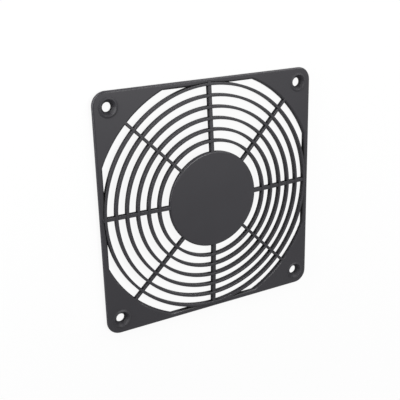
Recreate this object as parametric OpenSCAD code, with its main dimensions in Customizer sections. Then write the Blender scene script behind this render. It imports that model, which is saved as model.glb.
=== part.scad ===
// Fan finger guard: one moulding, a square frame that carries a shallow domed grille.
// It lies on its back: X to the right, Y up the guard, Z out of its front. Sizes in millimetres.

/* [Frame] */
// Outside width of the square frame
frame_size = 120; // [119:0.1:121]
// Thickness of the frame and its corner plates
frame_thick = 2.25; // [2:0.05:3]
// Radius of the outer corners
corner_r = 6.7; // [4.5:0.1:8]
// Width of the bars along the four sides
bar_w = 3; // [2.6:0.1:3.4]
// Rounding of the outer front edge
edge_r = 0.9; // [0.3:0.1:1.1]
// Rounding of the outer back edge
back_edge_r = 1; // [0.3:0.1:1.1]
// Rounding of the front edges around the opening
lip_r = 1.15; // [0.4:0.05:1.3]
// Rounding of the back edges around the opening
lip_back_r = 0.45; // [0.2:0.05:0.7]

/* [Screw holes] */
// Distance from the frame's outside to the hole centres
hole_inset = 7.5; // [7:0.1:8.5]
// Diameter of the clearance holes
hole_d = 4.6; // [4:0.1:5.4]
// Diameter of the countersinks at the front
sink_d = 7.8; // [6.6:0.1:8.4]
// Depth of the countersinks
sink_depth = 1.9; // [1.4:0.05:2.2]
// Diameter of the low collars around the countersinks, where they meet the frame
collar_d = 9.8; // [9.2:0.1:10.6]
// Height of the collars above the frame's front
collar_h = 0.35; // [0.2:0.05:0.6]
// Width of the flat on top of each collar
collar_land = 0.15; // [0.1:0.05:0.3]
// Diameter of the pads behind the holes
pad_d = 11; // [9:0.5:12]
// Height of the pads behind the frame
pad_h = 0.6; // [0.3:0.1:1.2]

/* [Rings] */
// Number of rings
ring_count = 6; // [4:1:7]
// Width of each ring
ring_w = 1.4; // [1.1:0.05:1.7]
// Depth of each ring from front to back
ring_depth = 2.45; // [2:0.05:2.8]
// How far the last ring reaches in past the bars
ring_lap = 0.3; // [0.2:0.05:0.6]
// How far the last ring stands above the frame
ring_proud = 0.55; // [0.4:0.05:0.9]
// Rise of the dome from the last ring to the first
ring_rise = 1.37; // [0.9:0.01:2]
// Rounding of the rings' front edges
ring_edge = 0.3; // [0.1:0.05:0.4]
// Width of the groove between the last ring and the side bars
groove_w = 0.25; // [0.15:0.05:0.5]
// Depth of that groove below the frame's front
groove_depth = 1.2; // [0.6:0.1:1.6]
// Gap between the last ring and the corner plates
corner_gap = 4.1; // [3:0.05:5]

/* [Spokes] */
// Width of the four spokes that run to the side bars
side_spoke_w = 1.9; // [1.3:0.1:2.6]
// Width of the four spokes that run to the corner plates
corner_spoke_w = 1.35; // [1.1:0.05:2.2]
// How far the spokes' fronts lie behind the rings' fronts
spoke_drop = 0.25; // [0.15:0.05:0.4]
// Rounding of the spokes' front edges
spoke_edge = 0.25; // [0.1:0.05:0.35]

/* [Centre disc] */
// Diameter of the disc over the fan's hub
disc_d = 49.2; // [44:0.1:52]
// Thickness of the disc
disc_thick = 2.4; // [2:0.05:3]
// How far the disc stands above the spokes that meet it
disc_proud = 0.15; // [0.1:0.05:0.4]
// Rounding of the disc's front edge
disc_edge = 0.9; // [0.2:0.05:1]
// Rounding of the disc's back edge
disc_back_edge = 0.9; // [0.2:0.05:0.95]
// Gap between the disc and the first ring
first_gap = 4.5; // [3.5:0.05:6]

/* [Hidden] */
$fn = 96;

half = frame_size / 2;
inner_half = half - bar_w;
front_z = pad_h + frame_thick;
hole_pitch = frame_size - 2 * hole_inset;
disc_r = disc_d / 2;
r_first = disc_r + first_gap + ring_w / 2;
r_last = inner_half - ring_lap + ring_w / 2;
ring_step = (r_last - r_first) / (ring_count - 1);
ring_out = r_last + ring_w / 2;
gusset_r = ring_out + corner_gap;
dome_fall = atan(ring_rise / (r_last - r_first));
disc_front = dome_z(disc_r) - spoke_drop + disc_proud;
// Crease left where a rounding meets its two faces, in degrees
edge_lead = 5;
// How far the spokes run on inside the disc, the side bars and the corner plates
disc_root = max(disc_edge, disc_back_edge) + 0.2;
side_root = 0.4;
corner_root = 1.8;
// How far cutters reach past what they cut
over = 1;

// Height of the dome's front at a radius
function dome_z(r) = front_z + ring_proud + (r_last - r) * tan(dome_fall);

// What a rounding takes off a square edge, with the edge at the origin and material at -X and -Y
module edge_section(r) {
    difference() {
        translate([-r, -r]) square(r + over);
        translate([-r, -r]) circle(r = r / cos(edge_lead));
    }
}

// Section of a grille bar, its front on the X axis, with both front edges rounded
module bar_section(w, depth, r) {
    difference() {
        translate([-w / 2, -depth]) square([w, depth]);
        for (m = [0, 1]) mirror([m, 0]) translate([w / 2, 0]) edge_section(r);
    }
}

// Section of the opening out to a distance, flared at the front and back by its roundings
module opening_section(reach) {
    translate([0, -over]) square([reach, front_z + 2 * over]);
    translate([reach, front_z]) mirror([1, 0]) edge_section(lip_r);
    translate([reach, pad_h]) rotate(180) edge_section(lip_back_r);
}

module at_holes() {
    for (x = [-1, 1], y = [-1, 1]) translate([x, y, 0] * hole_pitch / 2) children();
}

module frame_outline() {
    square([frame_size, frame_size - 2 * corner_r], center = true);
    square([frame_size - 2 * corner_r, frame_size], center = true);
    for (x = [-1, 1], y = [-1, 1]) translate([x, y] * (half - corner_r)) circle(r = corner_r);
}

// What a rounding takes off the frame's edge along its four sides and around its four corners
module outer_rounding(r) {
    for (k = [0:3]) rotate(90 * k) {
        translate([half, 0, 0]) rotate([90, 0, 0])
            linear_extrude(frame_size - 2 * corner_r, center = true) edge_section(r);
        translate([half - corner_r, half - corner_r, 0])
            rotate_extrude(angle = 90) translate([corner_r, 0]) edge_section(r);
    }
}

// Room between two opposite side bars
module between_bars(turn) {
    rotate([90, 0, turn]) linear_extrude(frame_size, center = true)
        for (m = [0, 1]) mirror([m, 0]) opening_section(inner_half);
}

// The opening is a circle that the side bars cut off on four sides
module opening() {
    intersection() {
        rotate_extrude() opening_section(gusset_r);
        between_bars(0);
        between_bars(90);
    }
}

// Narrow groove that sets the last ring off from the side bars
module groove() {
    translate([0, 0, front_z - groove_depth]) rotate_extrude()
        translate([r_last, 0]) square([ring_out - r_last + groove_w, groove_depth + over]);
}

// Low tapered collar that stiffens the plate around a hole
module collar() {
    top_d = sink_d + 2 * collar_land;
    translate([0, 0, front_z - collar_h])
        cylinder(d1 = 2 * collar_d - top_d, d2 = top_d, h = 2 * collar_h);
}

// Clearance hole with a conical countersink for a flat-headed screw
module screw_hole() {
    spread = (sink_d - hole_d) / 2 / sink_depth;
    translate([0, 0, -over]) cylinder(d = hole_d, h = front_z + 2 * over);
    translate([0, 0, front_z + collar_h - sink_depth])
        cylinder(r1 = hole_d / 2, r2 = hole_d / 2 + spread * (sink_depth + over), h = sink_depth + over);
}

module frame() {
    difference() {
        union() {
            translate([0, 0, pad_h]) linear_extrude(frame_thick) frame_outline();
            at_holes() cylinder(d = pad_d, h = pad_h + frame_thick / 2);
            at_holes() collar();
        }
        translate([0, 0, front_z]) outer_rounding(edge_r);
        translate([0, 0, pad_h]) mirror([0, 0, 1]) outer_rounding(back_edge_r);
        opening();
        groove();
        at_holes() screw_hole();
    }
}

module ring(r) {
    translate([0, 0, dome_z(r)]) rotate_extrude() translate([r, 0]) bar_section(ring_w, ring_depth, ring_edge);
}

// A straight bar that follows the dome from one radius to another, flush with the rings' backs
module spoke(turn, w, r_from, r_to) {
    rotate(turn) translate([r_from, 0, dome_z(r_from) - spoke_drop])
        rotate([0, dome_fall, 0]) rotate([90, 0, 90])
            linear_extrude((r_to - r_from) / cos(dome_fall))
                bar_section(w, ring_depth - spoke_drop, spoke_edge);
}

module disc() {
    translate([0, 0, disc_front]) rotate_extrude() difference() {
        translate([0, -disc_thick]) square([disc_r, disc_thick]);
        translate([disc_r, 0]) edge_section(disc_edge);
        translate([disc_r, -disc_thick]) mirror([0, 1]) edge_section(disc_back_edge);
    }
}

module grille() {
    for (i = [0:ring_count - 1]) ring(r_first + i * ring_step);
    for (k = [0:3]) {
        spoke(90 * k, side_spoke_w, disc_r - disc_root, ring_out + groove_w + side_root);
        spoke(90 * k + 45, corner_spoke_w, disc_r - disc_root, gusset_r + corner_root);
    }
    disc();
}

module finger_guard() {
    color([0.25, 0.25, 0.26]) {
        frame();
        grille();
    }
}

finger_guard();
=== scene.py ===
import math

import bpy
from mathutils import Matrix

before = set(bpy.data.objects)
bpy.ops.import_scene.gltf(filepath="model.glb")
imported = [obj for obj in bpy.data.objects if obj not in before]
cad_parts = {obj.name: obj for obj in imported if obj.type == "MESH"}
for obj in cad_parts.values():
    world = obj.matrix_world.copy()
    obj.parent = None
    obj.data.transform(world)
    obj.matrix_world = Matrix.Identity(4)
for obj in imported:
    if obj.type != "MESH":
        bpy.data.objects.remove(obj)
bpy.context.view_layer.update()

# The guard
# One injection moulding in black plastic: a flat square frame whose grille of rings and spokes domes
# up to a centre disc. The mould's eroded walls leave a fine satin grain, smoother where the edges round
# over. The rounded edges are painted lighter, partly edge wear and partly a painted highlight, and the
# slots' corners are painted darker as painted shade. Four countersunk holes take the screws that fix it.

PLASTIC_DARK = (0.0228, 0.0219, 0.0256, 1.0)
PLASTIC_LIGHT = (0.0270, 0.0260, 0.0302, 1.0)
# Lighter colour for the rounded edges: partly edge wear, partly a painted highlight
PLASTIC_EDGE_WEAR_AND_HIGHLIGHT = (0.0325, 0.0314, 0.0360, 1.0)
# Near black for the slots' corners: painted shade
PLASTIC_PAINTED_SHADE = (0.0010, 0.0010, 0.0011, 1.0)
MM_PER_M = 1000.0
CLOUD_PER_MM = 0.07
CLOUD_DETAIL = 3.0
GRAIN_PER_MM = 3.2
GRAIN_DETAIL = 2.0
GRAIN_HEIGHT_M = 0.000012
GRAIN_STRENGTH = 0.35
SATIN = 0.46
SATIN_SPREAD = 0.06
NOISE_MIDDLE = 0.5
SPECULAR = 0.235
EDGE_ONSET = 60.0
EDGE_WEAR_AND_HIGHLIGHT = 0.3
EDGE_POLISH = 0.18
HOLE_OFFSET_MM = (-52.5, -52.5, 0.0)
IN_PLANE = (1.0, 1.0, 0.0)
COLLAR_RADIUS_MM = 5.2
CORNER_REACH_M = 0.003
CORNER_SHADE_DEPTH = 2.2
CORNER_DULL = 0.4


class Wire:
    """A tree of shader nodes, or one output in it. Arithmetic on an output adds Math nodes to its tree."""

    def __init__(self, tree, socket=None):
        self.tree = tree
        self.socket = socket

    def node(self, kind, settings, sockets, out=0):
        made = self.tree.nodes.new(kind)
        for name, value in settings.items():
            setattr(made, name, value)
        for key, value in sockets.items():
            if isinstance(value, Wire):
                self.tree.links.new(value.socket, made.inputs[key])
            else:
                made.inputs[key].default_value = value
        return Wire(self.tree, made.outputs[out] if made.outputs else None)

    def math(self, operation, first, second, clamp=False):
        settings = {"operation": operation, "use_clamp": clamp}
        return self.node("ShaderNodeMath", settings, {0: first, 1: second})

    def mix(self, factor, first, second):
        # Inputs 6 and 7 and output 2 are the node's colours
        sockets = {0: factor, 6: first, 7: second}
        return self.node("ShaderNodeMix", {"data_type": "RGBA"}, sockets, out=2)

    def __add__(self, other):
        return self.math("ADD", self, other)

    def __radd__(self, other):
        return self.math("ADD", other, self)

    def __sub__(self, other):
        return self.math("SUBTRACT", self, other)

    def __rsub__(self, other):
        return self.math("SUBTRACT", other, self)

    def __mul__(self, other):
        return self.math("MULTIPLY", self, other)

    def __rmul__(self, other):
        return self.math("MULTIPLY", other, self)


def blank_material(name):
    material = bpy.data.materials.new(name)
    material.use_nodes = True
    material.node_tree.nodes.clear()
    return material


satin_black = blank_material("satin_black_plastic")
moulding = Wire(satin_black.node_tree)
place = moulding.node("ShaderNodeTexCoord", {}, {}, out="Object")
mm = moulding.node("ShaderNodeVectorMath", {"operation": "SCALE"}, {0: place, "Scale": MM_PER_M})
cloud = moulding.node(
    "ShaderNodeTexNoise", {}, {"Vector": mm, "Scale": CLOUD_PER_MM, "Detail": CLOUD_DETAIL}
)
grain = moulding.node(
    "ShaderNodeTexNoise", {}, {"Vector": mm, "Scale": GRAIN_PER_MM, "Detail": GRAIN_DETAIL}
)

# How far an edge has rounded over, from how much its surface still faces up
normal = moulding.node("ShaderNodeNewGeometry", {}, {}, out="Normal")
facing = moulding.node("ShaderNodeSeparateXYZ", {}, {0: normal}, out="Z")
upward = moulding.math("MAXIMUM", facing, 0.0)
tilted = moulding.math("MULTIPLY", EDGE_ONSET * upward, 1.0 - upward, clamp=True)

# The countersinks and their collars keep the grain of the flats, with no polish and no painted edge
# highlight
aside = moulding.node("ShaderNodeVectorMath", {"operation": "ABSOLUTE"}, {0: mm})
from_hole = moulding.node(
    "ShaderNodeVectorMath", {"operation": "MULTIPLY_ADD"}, {0: aside, 1: IN_PLANE, 2: HOLE_OFFSET_MM}
)
hole_radius = moulding.node("ShaderNodeVectorMath", {"operation": "LENGTH"}, {0: from_hole}, out="Value")
rounded = tilted * moulding.math("GREATER_THAN", hole_radius, COLLAR_RADIUS_MM)

# Painted shade: how closed in a spot lies between the walls around it, from ambient occlusion; it darkens
# the colour to a near black and dulls the gloss
open_share = moulding.node(
    "ShaderNodeAmbientOcclusion", {"only_local": True}, {"Distance": CORNER_REACH_M}, out="AO"
)
corner_shade = moulding.math("MULTIPLY", 1.0 - open_share, CORNER_SHADE_DEPTH, clamp=True)

body_colour = moulding.mix(cloud, PLASTIC_DARK, PLASTIC_LIGHT)
# Edge wear and painted highlight: rounded edges are mixed towards a lighter colour where they tilt
wear_and_highlight_colour = moulding.mix(EDGE_WEAR_AND_HIGHLIGHT * rounded, body_colour, PLASTIC_EDGE_WEAR_AND_HIGHLIGHT)
# Painted shade: the slots' corners are mixed towards a near black
colour = moulding.mix(corner_shade, wear_and_highlight_colour, PLASTIC_PAINTED_SHADE)
satin = SATIN + SATIN_SPREAD * (cloud - NOISE_MIDDLE) + SATIN_SPREAD * (grain - NOISE_MIDDLE)
roughness = satin - EDGE_POLISH * rounded + CORNER_DULL * corner_shade
bump = moulding.node(
    "ShaderNodeBump",
    {},
    {"Strength": GRAIN_STRENGTH, "Distance": GRAIN_HEIGHT_M, "Height": grain},
)
plastic = moulding.node(
    "ShaderNodeBsdfPrincipled",
    {},
    {
        "Base Color": colour,
        "Roughness": roughness,
        "Specular IOR Level": SPECULAR,
        "Normal": bump,
    },
)
moulding.node("ShaderNodeOutputMaterial", {}, {"Surface": plastic})

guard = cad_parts["finger_guard"]
guard.data.materials.clear()
guard.data.materials.append(satin_black)

# The floor
# A pale matt sheet under the guard, wide enough to fill every view. Seen by the camera it is mostly
# plain white, and the rest of it takes the light, so the guard's soft shadow falls on it. Away from
# the guard it fades to full white, and the guard's gloss sees only a little of that white.

FLOOR_SIDE = 8.0
FLOOR_DROP = -0.0002
FLOOR_COLOUR = (0.90, 0.90, 0.90, 1.0)
FLOOR_WHITE = 0.92
FADE_START_M = 0.10
FADE_PER_M = 3.0
FLOOR_WHITE_IN_GLOSS = 0.15
WHITE = (1.0, 1.0, 1.0, 1.0)
WHITE_STRENGTH = 1.0

bpy.ops.object.select_all(action="DESELECT")
bpy.ops.mesh.primitive_plane_add(size=FLOOR_SIDE, location=(0.0, 0.0, FLOOR_DROP))
floor = bpy.context.object
floor.name = "floor"
pale_sheet = blank_material("pale_sheet")
ground = Wire(pale_sheet.node_tree)


def ray(tree, kind):
    return tree.node("ShaderNodeLightPath", {}, {}, out="Is " + kind + " Ray")


def seen_directly(tree):
    return tree.math("MAXIMUM", ray(tree, "Camera"), ray(tree, "Transmission"))


spot = ground.node("ShaderNodeTexCoord", {}, {}, out="Object")
distance = ground.node("ShaderNodeVectorMath", {"operation": "LENGTH"}, {0: spot}, out="Value")
fade = ground.math("MULTIPLY", distance - FADE_START_M, FADE_PER_M, clamp=True)
white_seen = FLOOR_WHITE + (1.0 - FLOOR_WHITE) * fade
floor_share = ground.math(
    "MAXIMUM", seen_directly(ground) * white_seen, ray(ground, "Glossy") * FLOOR_WHITE_IN_GLOSS
)
matt = ground.node("ShaderNodeBsdfDiffuse", {}, {"Color": FLOOR_COLOUR})
plain_white = ground.node("ShaderNodeEmission", {}, {"Color": WHITE, "Strength": WHITE_STRENGTH})
surface = ground.node("ShaderNodeMixShader", {}, {0: floor_share, 1: matt, 2: plain_white})
ground.node("ShaderNodeOutputMaterial", {}, {"Surface": surface})
floor.data.materials.append(pale_sheet)

# The light
# A plain soft studio: a white room all round for what is seen, with a low even level of its own light,
# a soft box high over the guard, a wide one low beyond its top right corner, and a low strip on the left.

ROOM_LEVEL = 0.10

world = bpy.data.worlds.new("white_room")
bpy.context.scene.world = world
world.use_nodes = True
world.node_tree.nodes.clear()
room = Wire(world.node_tree)
lit = room.node("ShaderNodeBackground", {}, {"Color": WHITE, "Strength": ROOM_LEVEL})
white_wall = room.node("ShaderNodeBackground", {}, {"Color": WHITE, "Strength": WHITE_STRENGTH})
wall_share = room.math("MAXIMUM", seen_directly(room), ray(room, "Glossy"))
backdrop = room.node("ShaderNodeMixShader", {}, {0: wall_share, 1: lit, 2: white_wall})
room.node("ShaderNodeOutputWorld", {}, {"Surface": backdrop})


def soft_box(name, bearing, height, away, size, watts):
    """A lamp that faces the guard. Bearing and height are in degrees, away is in metres."""
    data = bpy.data.lights.new(name, "AREA")
    data.shape = "RECTANGLE"
    data.size, data.size_y = size
    data.energy = watts
    lamp = bpy.data.objects.new(name, data)
    bpy.context.scene.collection.objects.link(lamp)
    level = away * math.cos(math.radians(height))
    lamp.location.x = level * math.cos(math.radians(bearing))
    lamp.location.y = level * math.sin(math.radians(bearing))
    lamp.location.z = away * math.sin(math.radians(height))
    lamp.rotation_euler = (-lamp.location).to_track_quat("-Z", "Y").to_euler()
    lamp.visible_camera = False


soft_box("key_high", bearing=28.0, height=71.0, away=0.6, size=(0.20, 0.20), watts=2.12)
soft_box("key_low", bearing=50.0, height=23.0, away=0.6, size=(0.36, 0.36), watts=1.90)
soft_box("left_strip", bearing=148.0, height=10.5, away=0.4, size=(0.60, 0.13), watts=2.50)

# The camera
# It looks at the guard's front from 30 degrees to the left and 18 degrees above, so the guard's
# top edge stays at the top of the picture.

CAMERA_AT = (-0.176345, 0.118207, 0.301544)
CAMERA_TURN = (-18.1287, -30.0443, -1.6174)
CAMERA_LENS = 65.886
SENSOR_WIDTH = 36.0
NEAREST = 0.01
FARTHEST = 50.0

camera_data = bpy.data.cameras.new("camera")
camera_data.sensor_width = SENSOR_WIDTH
camera_data.lens = CAMERA_LENS
camera_data.clip_start = NEAREST
camera_data.clip_end = FARTHEST
camera = bpy.data.objects.new("camera", camera_data)
bpy.context.scene.collection.objects.link(camera)
camera.location = CAMERA_AT
camera.rotation_euler = [math.radians(turn) for turn in CAMERA_TURN]
bpy.context.scene.camera = camera
bpy.context.scene.view_settings.view_transform = "Standard"
